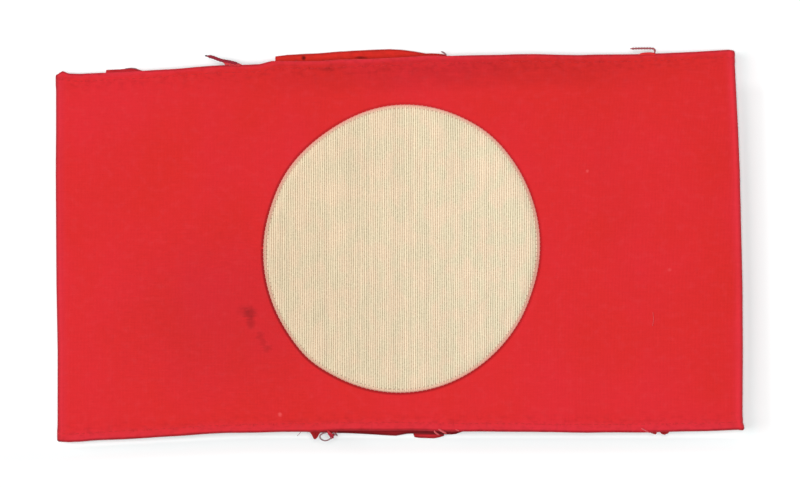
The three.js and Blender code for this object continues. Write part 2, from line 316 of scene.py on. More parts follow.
def bell(distance, width):
    """1 at no distance, and falling off to 0 over about two widths."""
    return np.exp(-((distance / width) ** 2))


def groove_depth(groove, place, middle):
    return groove["depth"] * bell(place - middle, groove["half_width"])


def folds_at(y):
    return column(FOLDS, "y", y, "left"), column(FOLDS, "y", y, "right")


def creased_x(x, y):
    """Moves a nominal x, whose folds are straight and a half length away, to where the creases run."""
    left, right = folds_at(y)
    return left + (right - left) * (x + HALF_LENGTH) / (2 * HALF_LENGTH)


def uncreased_x(x, y):
    """The nominal x of a place."""
    left, right = folds_at(y)
    return -HALF_LENGTH + 2 * HALF_LENGTH * (x - left) / (right - left)


def lift_at(x, y):
    lift = 0.0
    for row in LIFTS:
        along = smooth((x - row["start"]) / (row["end"] - row["start"]))
        across = 1.0 - smooth(np.abs(y - row["y"]) / row["reach"])
        lift = lift + row["height"] * along * across
    return lift


def dents_at(x, y, dents):
    height = 0.0
    for dent in dents:
        turn = math.radians(dent["turn"])
        dx, dy = x - dent["x"], y - dent["y"]
        across = (dx * math.cos(turn) + dy * math.sin(turn)) / dent["across"]
        along = (dy * math.cos(turn) - dx * math.sin(turn)) / dent["along"]
        height = height + dent["height"] * np.exp(-(across**2 + along**2))
    return height


def front_height(x, y):
    """The outside of the front, over a nominal x."""
    from_fold = np.clip((FOLD_X - np.abs(x)) / RISE_LENGTH, 0.0, 1.0)
    opened = 1.0 - (1.0 - from_fold) ** 2
    return lift_at(x, y) + 2 * FOLD_RADIUS + RISE * opened + dents_at(x, y, DENTS) * opened


def inner_layer_height(x, y):
    still_up = 1.0 - np.clip((x - LAP_END) / LAP_RAMP, 0.0, 1.0)
    return lift_at(x, y) + LAYER * smooth(still_up)


def waves_at(s, y):
    """Faint waves all over the cloth."""
    height = 0.0
    for row in RIPPLES:
        turn = math.radians(row["turn"])
        along = s * math.cos(turn) + y * math.sin(turn)
        wander = 1.3 * np.sin(s / 37.0 + row["phase"]) + 1.1 * np.sin(y / 23.0 - row["phase"])
        turns = 2 * math.pi * along / row["length"] + row["phase"] + wander
        height = height + row["height"] * np.sin(turns)
    return height


def puckers_at(s, from_edge):
    """The small puckers that the stitching draws beside a hem."""
    wander = 1.6 * np.sin(s / 11.0) + 1.2 * np.sin(s / 5.3 + 1.0)
    pucker = np.sin(2 * math.pi * s / PUCKER["length"] + wander)
    return PUCKER["height"] * pucker * bell(from_edge - PUCKER["inset"], PUCKER["spread"])


# The strip's own measure s runs along it: from -FOLD_X to FOLD_X over the front as x does, then round
# either fold and along the back, to the inner layer's cut end past the right one and the outer layer's
# past the left one
def back_place(side, x):
    """The strip's measure at a nominal x on the back."""
    return side * (FOLD_X + FOLD_ARC + FOLD_X - side * x)


INNER_END = back_place(1, LAP_START)
OUTER_END = back_place(-1, LAP_END)


def strip_place(s):
    """The nominal x at s, and the angle round a fold: 90 degrees on the front and -90 on the back."""
    side = np.where(s < 0, -1.0, 1.0)
    past_front = np.clip(np.abs(s) - FOLD_X, 0.0, None)
    angle = math.pi / 2 - np.clip(past_front / FOLD_RADIUS, 0.0, math.pi)
    on_back = np.clip(past_front - FOLD_ARC, 0.0, None)
    x = side * (np.minimum(np.abs(s), FOLD_X) - on_back)
    return x, side, angle


def strip_edges(s):
    """The bottom and top edges of the strip at s."""
    x, side, angle = strip_place(s)
    on_back = angle <= -math.pi / 2
    edge_x = np.where(np.abs(angle) < math.pi / 2, side * (FOLD_X + FOLD_RADIUS * np.cos(angle)), x)
    bottom = column(FRONT_EDGES, "x", edge_x, "bottom")
    top = column(FRONT_EDGES, "x", edge_x, "top")
    for layer, on_layer in ((INNER_LAYER, on_back & (side > 0)), (OUTER_LAYER, on_back & (side < 0))):
        bottom = bottom - np.where(on_layer, column(layer, "x", edge_x, "bottom"), 0.0)
        top = top + np.where(on_layer, column(layer, "x", edge_x, "top"), 0.0)
    return bottom, top


def patch_radius(angle):
    radius = PATCH["radius"] + PATCH["stretch"] * np.cos(2 * (angle - PATCH["long_axis"]))
    for row in RIM_PULLS:
        turned = np.mod(angle - math.radians(row["angle"]) + math.pi, 2 * math.pi) - math.pi
        radius = radius + row["out"] * bell(turned, math.radians(row["spread"]))
    return radius


def outside_patch(x, y):
    """How far a place lies outside the patch's edge, negative on the patch."""
    dx, dy = x - PATCH["x"], y - PATCH["y"]
    return np.hypot(dx, dy) - patch_radius(np.arctan2(dy, dx))


def pairs(a, b):
    """Two numbers for each point."""
    return np.stack([a, b], axis=-1).reshape(-1, 2)


def rim_uv(x, y):
    """How far outside the patch's edge, and the turn round it from straight right in units of pi."""
    dx, dy = x - PATCH["x"], y - PATCH["y"]
    return pairs(outside_patch(x, y), np.arctan2(dy, dx) / math.pi)


def hem_relief(from_edge, stitch_inset):
    hem = 1.0 - smooth((from_edge - HEM + HEM_STEP / 2) / HEM_STEP)
    return HEM_RELIEF * hem - groove_depth(STITCH_GROOVE, from_edge, stitch_inset)


def strip_outside(s, y):
    """A place on the outside of the strip, and the direction into the cloth."""
    s, y = np.broadcast_arrays(np.asarray(s, float), np.asarray(y, float))
    x, side, angle = strip_place(s)
    on_front = angle >= math.pi / 2
    on_back = angle <= -math.pi / 2
    on_fold = ~on_front & ~on_back
    real_x = creased_x(x, y) + np.where(on_fold, side * FOLD_RADIUS * np.cos(angle), 0.0)
    back = np.where(side > 0, inner_layer_height(x, y), lift_at(x, y))
    fold = lift_at(x, y) + FOLD_RADIUS * (1.0 + np.sin(angle))
    z = np.where(on_front, front_height(x, y), np.where(on_back, back, fold))
    inward = np.stack([-side * np.cos(angle), np.zeros_like(s), -np.sin(angle)], axis=-1)

    bottom, top = strip_edges(s)
    relief = hem_relief(top - y, STITCH_INSET["top"]) + hem_relief(y - bottom, STITCH_INSET["bottom"])
    relief = relief + puckers_at(s, top - y) + puckers_at(s + 40.0, y - bottom)
    relief = relief + FOLD_RELIEF * bell(np.abs(s) - FOLD_X - FOLD_ARC / 2, FOLD_ARC / 2)
    pulled_in = groove_depth(PATCH_GROOVE, outside_patch(real_x, y), PATCH_GROOVE["middle"])
    beside_fold = groove_depth(FOLD_GROOVE, HALF_LENGTH - np.abs(s), FOLD_GROOVE["middle"])
    front_relief = waves_at(s, y) + dents_at(x, y, CREASES) - pulled_in - beside_fold
    relief = relief - HEM_RELIEF + np.where(on_front, front_relief, 0.0)
    relief = np.where(on_back, np.minimum(relief, 0.0), relief)
    point = np.stack([real_x, y, z], axis=-1) - inward * relief[..., None]
    return point, inward


def linked(name, data):
    """A new object in the scene."""
    item = bpy.data.objects.new(name, data)
    bpy.context.collection.objects.link(item)
    return item


def mesh_piece(name, points, faces, uvs, flat_faces=()):
    """A mesh object from points in millimetres; uvs has two numbers for each point under a map's name."""
    mesh = bpy.data.meshes.new(name)
    mesh.from_pydata(((np.asarray(points) + ROW_SHIFT) / 1000.0).tolist(), [], faces)
    mesh.polygons.foreach_set("use_smooth", [True] * len(mesh.polygons))
    for index in flat_faces:
        mesh.polygons[index].use_smooth = False
    corners = np.empty(len(mesh.loops), dtype=np.int32)
    mesh.loops.foreach_get("vertex_index", corners)
    for map_name, values in uvs.items():
        layer = mesh.uv_layers.new(name=map_name)
        layer.data.foreach_set("uv", np.asarray(values, dtype=np.float32)[corners].ravel())
    mesh.validate()
    mesh.update()
    return linked(name, mesh)


def lofted_faces(sections, count):
    """Faces of a closed body through sections of equally many points, with a cap at either end."""
    faces = []
    for section in range(sections - 1):
        first = section * count
        for i in range(count):
            a, b = first + i, first + (i + 1) % count
            faces.append((a, b, b + count, a + count))
    faces.append(tuple(reversed(range(count))))
    faces.append(tuple(range((sections - 1) * count, sections * count)))
    return faces


def places_between(low, high, step, kept):
    """Places about a step apart from low to high, with the kept ones among them."""
    ends = sorted({low, high, *(place for place in kept if low < place < high)})
    places = [low]
    for a, b in zip(ends, ends[1:]):
        places.extend(np.linspace(a, b, max(1, round((b - a) / step)) + 1)[1:])
    return np.array(places)


# How far apart the strip's cross sections are, and how many round a fold
FRONT_STEP = 0.8
BACK_STEP = 1.7
FOLD_SECTIONS = 13


def strip_stations():
    """The places along the strip of its cross sections, from one cut end to the other."""
    fold = np.linspace(0.0, FOLD_ARC, FOLD_SECTIONS)[1:-1]
    front = places_between(-FOLD_X, FOLD_X, FRONT_STEP, [row["x"] for row in FRONT_EDGES])
    in_inner = [back_place(1, row["x"]) for row in INNER_LAYER]
    in_outer = [back_place(-1, row["x"]) for row in OUTER_LAYER]
    inner = places_between(FOLD_X + FOLD_ARC, INNER_END, BACK_STEP, in_inner)
    outer = places_between(OUTER_END, -FOLD_X - FOLD_ARC, BACK_STEP, in_outer)
    return np.concatenate([outer, -(FOLD_X + fold[::-1]), front, FOLD_X + fold, inner])


# Rows of the strip's outline: their insets from a hem's edge, and how deep they lie in the cloth
HEM_OUTSIDE = [
    0.9, 1.2, 1.5, 1.8, 2.05, 2.3, 2.55, 2.8, 3.1, 3.4,
    3.7, 4.0, 4.4, 4.9, 5.4, 5.9, 6.5, 7.2, 8.4, 10.0,
]
HEM_INSIDE = table(
    "inset depth",
    (2.0, HEM_THICKNESS),
    (HEM - 0.3, HEM_THICKNESS),
    (HEM, HEM_THICKNESS - 0.25),
    (HEM + 0.1, COTTON),
)
HEM_ZONE = 12.0
OUTSIDE_ROWS = 80
INSIDE_ROWS = 24
EDGE_ROWS = 8


def strip_outline():
    """The cloth's outline across the strip, outside first: rows at an inset from the bottom or top edge,
    or at a share of the way between the hems' zones."""
    round_radius = HEM_THICKNESS / 2
    turns = np.linspace(0.0, math.pi, EDGE_ROWS)
    hem = [{"inset": inset, "depth": 0.0} for inset in reversed(HEM_OUTSIDE)]
    hem += [
        {"inset": round_radius * (1 - math.sin(turn)), "depth": round_radius * (1 - math.cos(turn))}
        for turn in turns
    ]
    hem += HEM_INSIDE
    outside = [{"share": share, "depth": 0.0} for share in np.linspace(0.0, 1.0, OUTSIDE_ROWS)]
    inside = [{"share": share, "depth": COTTON} for share in np.linspace(1.0, 0.0, INSIDE_ROWS)]
    top = [{"edge": "top", **row} for row in hem]
    bottom = [{"edge": "bottom", **row} for row in reversed(hem)]
    return outside + top + inside + bottom


def make_band():
    outline = strip_outline()
    stations = strip_stations()
    bottom, top = strip_edges(stations)
    wobble = 0.05 * np.sin(stations / 3.1) + 0.05 * np.sin(stations / 7.7 + 2.0)
    bottom, top = bottom + wobble, top + 0.8 * wobble[::-1]
    across = np.empty((len(stations), len(outline)))
    for i, row in enumerate(outline):
        if "share" in row:
            across[:, i] = bottom + HEM_ZONE + (top - bottom - 2 * HEM_ZONE) * row["share"]
        elif row["edge"] == "bottom":
            across[:, i] = bottom + row["inset"]
        else:
            across[:, i] = top - row["inset"]

    depths = np.array([row["depth"] for row in outline])
    outside, inward = strip_outside(stations[:, None], across)
    points = outside + inward * depths[None, :, None]
    from_edge = np.minimum(top[:, None] - across, across - bottom[:, None])
    along = np.broadcast_to(stations[:, None], across.shape)
    uvs = {
        "cloth_mm": pairs(along, across),
        "hem_mm": pairs(along, from_edge),
        "rim_mm": rim_uv(points[..., 0], points[..., 1]),
    }
    faces = lofted_faces(len(stations), len(outline))
    caps = [len(faces) - 2, len(faces) - 1]
    return mesh_piece("cotton_band", points.reshape(-1, 3), faces, uvs, caps)


def patch_surface(x, y):
    """The patch's upper surface without its ribs, sewn down at its edge and a little loose inside."""
    inside = -outside_patch(x, y)
    base = front_height(uncreased_x(x, y), y) - HEM_RELIEF
    free = smooth(inside / PATCH["free_inside"])
    loose = PATCH["under"] * free + 2.0 * waves_at(x * 1.7, y * 1.3)
    pulled = groove_depth(RIM_GROOVE, inside, RIM_GROOVE["middle"])
    radius = PATCH["edge_radius"]
    into_round = np.clip(radius - inside, 0.0, radius)
    rounded = radius - np.sqrt(radius**2 - into_round**2)
    return base + loose * free + PATCH["thickness"] - pulled - rounded


# Along the ribs run columns of points: where they lie in a rib's width, and how many points they have
RIB_PHASES = np.array([0.0, 0.1, 0.26, 0.5, 0.74, 0.9])
PATCH_ROWS = {"upper": 49, "under": 8}
END_COLUMNS = 1.0  # how far from its left and right ends closer ones take their place
RIM_STEPS = 7200


def make_patch():
    """The ribbed round; its columns close up towards its left and right ends."""
    angles = np.linspace(-math.pi, math.pi, RIM_STEPS + 1)
    rim_x = PATCH["x"] + patch_radius(angles) * np.cos(angles)
    rim_y = PATCH["y"] + patch_radius(angles) * np.sin(angles)
    left, right = rim_x.min(), rim_x.max()
    upper = (angles > 0) & (rim_x > left) & (rim_x < right)
    lower = (angles < 0) & (rim_x > left) & (rim_x < right)

    ribs = np.arange(math.floor(left / PATCH["rib_pitch"]), math.ceil(right / PATCH["rib_pitch"]) + 1)
    columns = ((ribs[:, None] + RIB_PHASES) * PATCH["rib_pitch"]).ravel()
    closing = 0.9 * END_COLUMNS * np.linspace(0.05, 1.0, 9) ** 2
    columns = columns[(columns > left + END_COLUMNS) & (columns < right - END_COLUMNS)]
    columns = np.concatenate([left + closing, columns, right - closing[::-1]])
    ends = []
    for half in (upper, lower):
        order = np.argsort(rim_x[half])
        ends.append(np.interp(columns, rim_x[half][order], rim_y[half][order]))
    top, bottom = ends

    shares = np.sin(np.linspace(-1.0, 1.0, PATCH_ROWS["upper"]) * math.pi / 2)
    under_shares = np.sin(np.linspace(1.0, -1.0, PATCH_ROWS["under"]) * math.pi / 2)
    middle, half = (top + bottom) / 2, (top - bottom) / 2
    rows = np.concatenate([shares, under_shares])
    y = middle[:, None] + half[:, None] * rows
    x = np.broadcast_to(columns[:, None], y.shape)

    wander = 0.05 * np.sin(y / 6.1 + x * 0.31) + 0.035 * np.sin(y / 2.3 - x * 0.7)
    inside = -outside_patch(x, y)
    wandered = x + wander * smooth(inside / 1.5)
    phase = columns / PATCH["rib_pitch"]
    rib_size = 1.0 + 0.2 * np.sin(np.round(phase) * 2.4) * np.sin(np.round(phase) * 0.77)
    rib = PATCH["rib_height"] * rib_size * np.abs(np.sin(math.pi * phase)) ** 0.7
    ribbed = rib[:, None] * smooth(inside / PATCH["ribs_inside"])
    z = patch_surface(x, y) + ribbed
    under = len(shares)
    z[:, under:] -= PATCH["thickness"] - 0.12 * (1 - smooth(inside[:, under:] / 0.5))
    z[:, under:] -= ribbed[:, under:]

    points = np.stack([wandered, y, z], axis=-1).reshape(-1, 3)
    uvs = {"cloth_mm": pairs(x, y), "rim_mm": rim_uv(x, y)}
    faces = lofted_faces(len(columns), len(rows))
    return mesh_piece("ribbed_patch", points, faces, uvs)


def sides_of(path):
    """Two directions square to a path, and to each other, at each of its points."""
    ahead = np.gradient(path, axis=0)
    ahead /= np.linalg.norm(ahead, axis=1)[:, None]
    up = np.where(np.abs(ahead[:, 2:3]) > 0.95, [[1.0, 0.0, 0.0]], [[0.0, 0.0, 1.0]])
    across = np.cross(ahead, up)
    across /= np.linalg.norm(across, axis=1)[:, None]
    return across, np.cross(across, ahead)


def tube(path, radius, sides=6):
    """Points and faces of a closed tube along a path; radius may differ along it."""
    path = np.asarray(path, float)
    radii = np.broadcast_to(radius, len(path))
    across, over = sides_of(path)
    angles = np.linspace(0.0, 2 * math.pi, sides, endpoint=False)
    ring = np.cos(angles)[None, :, None] * across[:, None] + np.sin(angles)[None, :, None] * over[:, None]
    points = path[:, None] + ring * radii[:, None, None]
    return points.reshape(-1, 3), lofted_faces(len(path), sides)


def joined(name, bodies):
    """One mesh object from many bodies of points and faces."""
    points, faces, first = [], [], 0
    for body_points, body_faces in bodies:
        points.append(body_points)
        faces.extend(tuple(first + i for i in face) for face in body_faces)
        first += len(body_points)
    points = np.concatenate(points)
    return mesh_piece(name, points, faces, {"rim_mm": rim_uv(points[:, 0], points[:, 1])})


def stitch_on_strip(s_from, s_to, y_from, y_to, radius):
    """A stitch on the strip's outside, its ends sunk into the cloth but not through what it lies on."""
    share = np.linspace(0.0, 1.0, 7)
    point, inward = strip_outside(s_from + (s_to - s_from) * share, y_from + (y_to - y_from) * share)
    sunk = radius * (1.9 * np.abs(2 * share - 1) ** 3 - 0.55)
    path = point + inward * sunk[:, None]
    path[:, 2] = np.maximum(path[:, 2], radius)
    return tube(path, radius)


def make_hem_stitches():
    bodies = []
    rng = np.random.default_rng(3)
    for start in np.arange(OUTER_END + 1.0, INNER_END - 2.0, STITCH_PITCH):
        end = start + HEM_STITCH["length"] * rng.uniform(HEM_STITCH["shortest"], HEM_STITCH["longest"])
        bottom, top = strip_edges(np.array([start, end]))
        rows = (top - STITCH_INSET["top"], bottom + STITCH_INSET["bottom"])
        for row, stray in zip(rows, rng.uniform(-STRAY, STRAY, 2)):
            bodies.append(stitch_on_strip(start, end, row[0], row[1] + stray, HEM_STITCH["radius"]))
    return joined("hem_stitches", bodies)


def make_lap_stitches():
    """A row of stitches near either cut end, through both layers of the lap."""
    bodies = []
    for lap_x in (LAP_START + LAP_STITCH["from_end"], LAP_END - LAP_STITCH["from_end"]):
        s = back_place(-1, lap_x)
        bottom, top = strip_edges(np.array([s]))
        row = np.arange(bottom[0] + LAP_STITCH["first"], top[0] - LAP_STITCH["last"], LAP_STITCH["pitch"])
        for y in row:
            bodies.append(stitch_on_strip(s, s, y, y + LAP_STITCH["length"], LAP_STITCH["radius"]))
    return joined("lap_stitches", bodies)


def make_patch_stitches():
    """A zigzag over the patch's edge: from a hole a millimetre inside it to one beside its rim."""
    rng = np.random.default_rng(11)
    count = PATCH["stitches"]
    share = np.linspace(0.0, 1.0, 9)
    outer = PATCH_STITCH["outer_inset"]
    holes = rng.uniform(-STRAY, STRAY, count + 1) + PATCH_STITCH["inset"]
    holes[count] = holes[0]
    bodies = []
    for i in range(count):
        halves = ((i, i + 0.5, holes[i], outer), (i + 0.5, i + 1, outer, holes[i + 1]))
        for start, end, inset_from, inset_to in halves:
            angle = 2 * math.pi * (start + (end - start) * share) / count
            inset = inset_from + (inset_to - inset_from) * share
            radius = patch_radius(angle) - inset
            x = PATCH["x"] + radius * np.cos(angle)
            y = PATCH["y"] + radius * np.sin(angle)
            sunk = PATCH_STITCH["sunk"] * smooth((inset - 0.75) / 0.3)
            z = patch_surface(x, y) + PATCH_STITCH["lift"] - sunk
            bodies.append(tube(np.stack([x, y, z], axis=-1), PATCH_STITCH["radius"]))
    return joined("patch_stitches", bodies)


def rounded_path(route, step=0.12):
    """A smooth path through a route's points, in steps of about so many millimetres."""
    points = np.asarray(route, float)
    padded = np.vstack([2 * points[0] - points[1], points, 2 * points[-1] - points[-2]])
    path = []
    for before, start, end, after in zip(padded, padded[1:], padded[2:], padded[3:]):
        steps = max(2, round(float(np.linalg.norm(end - start)) / step))
        share = (np.arange(steps) / steps)[:, None]
        bend = (2 * before - 5 * start + 4 * end - after) * share**2
        twist = (3 * start - before - 3 * end + after) * share**3
        path.append(start + 0.5 * ((end - before) * share + bend + twist))
    path.append(points[-1:])
    return np.concatenate(path)


def on_front(route):
    """A route whose heights are counted from the front's, with its real heights."""
    route = np.asarray(route, float)
    height = front_height(uncreased_x(route[:, 0], route[:, 1]), route[:, 1])
    return np.column_stack([route[:, 0], route[:, 1], height + route[:, 2]])


# How many sides a thread has, and, as shares of its radius, how thick it is at its ends, how thick its
# plies are, and how long one turn of their twist is
THREAD = {"sides": 8, "end": 0.45, "ply": 0.55, "twist": 5}


def thread_bodies(path, radius, plies):
    """A thread of one ply, or of more that are twisted together; it thins towards its ends."""
    run = np.concatenate([[0.0], np.cumsum(np.linalg.norm(np.diff(path, axis=0), axis=1))])
    to_end = np.minimum(run, run[-1] - run)
    thinned = THREAD["end"] + (1.0 - THREAD["end"]) * smooth(to_end / (2 * radius))
    if plies == 1:
        return [tube(path, radius * thinned, THREAD["sides"])]
    across, over = sides_of(path)
    ply_radius = THREAD["ply"] * radius
    bodies = []
    for ply in range(plies):
        turn = 2 * math.pi * (run / (THREAD["twist"] * radius) + ply / plies)
        offset = np.cos(turn)[:, None] * across + np.sin(turn)[:, None] * over
        ply_path = path + (radius - ply_radius) * thinned[:, None] * offset
        bodies.append(tube(ply_path, ply_radius * thinned, THREAD["sides"]))
    return bodies


def make_threads(name, dye):
    bodies = []
    for thread in THREADS:
        if thread["dye"] == dye:
            path = rounded_path(on_front(thread["route"]))
            bodies += thread_bodies(path, thread["radius"], thread["plies"])
    return joined(name, bodies)


def make_tufts():
    """Frayed fibres that hang out under the bottom hem."""
    rng = np.random.default_rng(5)
    bodies = []
    for tuft in TUFTS:
        for start_x in np.linspace(tuft["start"], tuft["end"], tuft["fibres"]):
            edge = float(column(FRONT_EDGES, "x", start_x, "bottom"))
            tip = np.array(tuft["tip"]) + rng.uniform(-0.25, 0.25, 2)
            middle = 0.55 * np.array([start_x, edge]) + 0.45 * tip + rng.uniform(-0.12, 0.12, 2)
            route = [
                (start_x, edge + 0.3, -0.9),
                (*middle, -1.1 + rng.uniform(-0.2, 0.2)),
                (*tip, -1.5 + rng.uniform(-0.3, 0.3)),
            ]
            bodies += thread_bodies(rounded_path(on_front(route), 0.3), rng.uniform(0.1, 0.17), 1)
    return joined("frayed_hem", bodies)


# The light, where 1 shows a white surface as just white: an even sky, a lamp straight above, and a low
# one at the left that throws the soft shadow to the right
SKY_LIGHT = 0.27
LAMPS = table(
    "name from width light",
    ("overhead_lamp", (0.0, 0.0, 1.0), 26, 0.67),
    ("side_lamp", (-0.76, 0.08, 0.64), 48, 0.33),
)
CLOTH_SHARE = 0.95  # of that light, after what a cloth's relief takes away
CLOTH_SHEEN = 0.03


# Colours, as 8-bit values in the picture
COLOURS = {
    "plain_red": (222, 42, 40),
    "faded_red": (224, 42, 50),
    "pale_red": (226, 56, 62),
    "hem_crimson": (226, 55, 76),
    "orange": (228, 47, 32),
    "stain": (104, 24, 26),
    "speck": (255, 110, 110),
    "proud_spot_and_shadow": (96, 14, 10),
    "cream": (251, 238, 205),
    "warm_cream": (255, 234, 203),
    "left_cream": (254, 229, 192),
    # Painted shade in the grooves between the patch's ribs
    "groove": (152, 130, 90),
    "warm_groove_shade": (170, 126, 88),
    # Painted shade in the patch's stitch holes
    "stitch_hole_shade": (104, 86, 62),
    "rim_pink": (244, 164, 150),
    "rim_red": (206, 110, 95),
    # Painted shade at the patch's rim
    "rim_brown_shade": (150, 80, 66),
    "rim_grey_shade": (160, 146, 118),
    "hem_thread": (214, 45, 49),
    "patch_thread": (244, 226, 192),
    # The red of the fibres under the bottom hem, darkened with painted shade
    "frayed_in_painted_shade": (166, 22, 26),
    "dark": (150, 34, 52),
    "black": (48, 34, 42),
    "red": (214, 60, 66),
    "crimson": (178, 30, 56),
    "bright": (226, 46, 48),
    "grey": (150, 112, 116),
    "mauve": (174, 94, 98),
    "pale": (226, 98, 102),
}
LOOSE_DYES = ("dark", "black", "red", "crimson", "bright", "grey", "mauve", "pale")


def shown(levels):
    """The colour of a cloth that shows in these 8-bit levels in the light above."""
    light = (SKY_LIGHT + sum(lamp["light"] for lamp in LAMPS)) * CLOTH_SHARE
    colour = []
    for level in levels:
        share = level / 255.0
        linear = share / 12.92 if share <= 0.04045 else ((share + 0.055) / 1.055) ** 2.4
        colour.append(linear / light)
    return (*colour, 1.0)


class Material:
    """A material's node tree. Each method adds nodes and gives the output to use next."""

    def __init__(self, name):
        self.material = bpy.data.materials.new(name)
        self.material.use_nodes = True
        self.tree = self.material.node_tree
        self.tree.nodes.clear()

    def add(self, kind, inputs=None, **settings):
        node = self.tree.nodes.new("ShaderNode" + kind)
        for key, value in settings.items():
            setattr(node, key, value)
        for key, value in (inputs or {}).items():
            if isinstance(value, bpy.types.NodeSocket):
                self.tree.links.new(value, node.inputs[key])
            else:
                node.inputs[key].default_value = value
        return node

    def math(self, operation, a, b=0.0, c=0.0):
        return self.add("Math", {0: a, 1: b, 2: c}, operation=operation).outputs[0]

    def times(self, first, *others):
        for other in others:
            first = self.math("MULTIPLY", first, other)
        return first

    def plus(self, base, value, amount):
        """The base, with the value times an amount added."""
        return self.math("MULTIPLY_ADD", value, amount, base)

    def vector(self, operation, a, b=(0.0, 0.0, 0.0), c=(0.0, 0.0, 0.0)):
        node = self.add("VectorMath", {0: a, 1: b, 2: c}, operation=operation)
        return node.outputs["Value"] if operation == "LENGTH" else node.outputs[0]

    def colour(self, name):
        return shown(COLOURS[name])

    def uv(self, name):
        return self.add("UVMap", uv_map=name).outputs[0]

    def place_mm(self):
        """The place on the object, in the measures' millimetres."""
        place = self.add("TexCoord").outputs["Object"]
        return self.vector("MULTIPLY_ADD", place, (1000.0,) * 3, tuple(-ROW_SHIFT))

    def split(self, vector):
        node = self.add("SeparateXYZ", {0: vector})
        return node.outputs[0], node.outputs[1]

    def noise(self, vector, across, along, detail, seed=0.0):
        """Noise whose grains are so many millimetres across and along, from 0 to 1."""
        inputs = {"Vector": vector, "Location": (seed,) * 3, "Scale": (1 / across, 1 / along, 1 / along)}
        scaled = self.add("Mapping", inputs).outputs[0]
        return self.add("TexNoise", {"Vector": scaled, "Scale": 1.0, "Detail": detail}).outputs[0]

    def ramp(self, value, low, high, to_low=0.0, to_high=1.0):
        inputs = {0: value, 1: low, 2: high, 3: to_low, 4: to_high}
        return self.add("MapRange", inputs, interpolation_type="SMOOTHSTEP").outputs[0]

    def band(self, value, middle, half_width):
        """1 at the middle, and 0 a half width away from it."""
        distance = self.math("ABSOLUTE", self.math("SUBTRACT", value, middle))
        return self.ramp(distance, half_width, 0.0)

    def rows(self, value, pitch):
        """1 at the middle of each row and 0 between rows, which lie a pitch apart."""
        return self.math("ABSOLUTE", self.math("SINE", self.times(value, math.pi / pitch)))

    def varied(self, tone, value, amount, middle=0.5):
        """The tone, raised where a value is over its middle and lowered where it is under it."""
        return self.plus(tone, self.math("SUBTRACT", value, middle), amount)

    def rest(self, share):
        return self.math("SUBTRACT", 1.0, share)

    def facing(self, turn, degrees):
        """1 where a turn, in units of pi, is in that direction, and -1 where it is in the opposite."""
        return self.math("COSINE", self.plus(-math.radians(degrees), turn, math.pi))

    def mix(self, factor, a, b, blend="MIX"):
        node = self.add("Mix", {0: factor, 6: a, 7: b}, data_type="RGBA", blend_type=blend)
        return node.outputs[2]

    def shaded(self, colour, factor):
        """The colour times a number."""
        grey = self.add("CombineColor", {0: factor, 1: factor, 2: factor}).outputs[0]
        return self.mix(1.0, colour, grey, "MULTIPLY")

    def marked(self, colour, cloth, marks, mark_colour, wavy):
        """The colour with soft marks of another in it; each has its middle and half sizes."""
        for mark in marks:
            away = self.vector("SUBTRACT", cloth, (mark["x"], mark["y"], 0.0))
            away = self.vector("MULTIPLY", away, (1 / mark["across"], 1 / mark["along"], 0.0))
            distance = self.varied(self.vector("LENGTH", away), wavy, 0.9)
            colour = self.mix(self.ramp(distance, 1.0, 0.15, 0.0, mark["strength"]), colour, mark_colour)
        return colour

    def bump(self, height, distance_mm, strength):
        inputs = {"Height": height, "Distance": distance_mm / 1000, "Strength": strength}
        return self.add("Bump", inputs).outputs[0]

    def finish(self, colour, roughness, specular, normal=None, sheen=0.0):
        inputs = {
            "Base Color": colour,
            "Roughness": roughness,
            "Specular IOR Level": specular,
            "Sheen Weight": sheen,
            "Sheen Roughness": 0.6,
        }
        if normal is not None:
            inputs["Normal"] = normal
        shader = self.add("BsdfPrincipled", inputs)
        self.add("OutputMaterial", {"Surface": shader.outputs[0]})
        return self.material


THREAD_PITCH = 0.42  # of the cotton's weave
FILLING_PITCH = 0.31  # of the threads across the patch's ribs


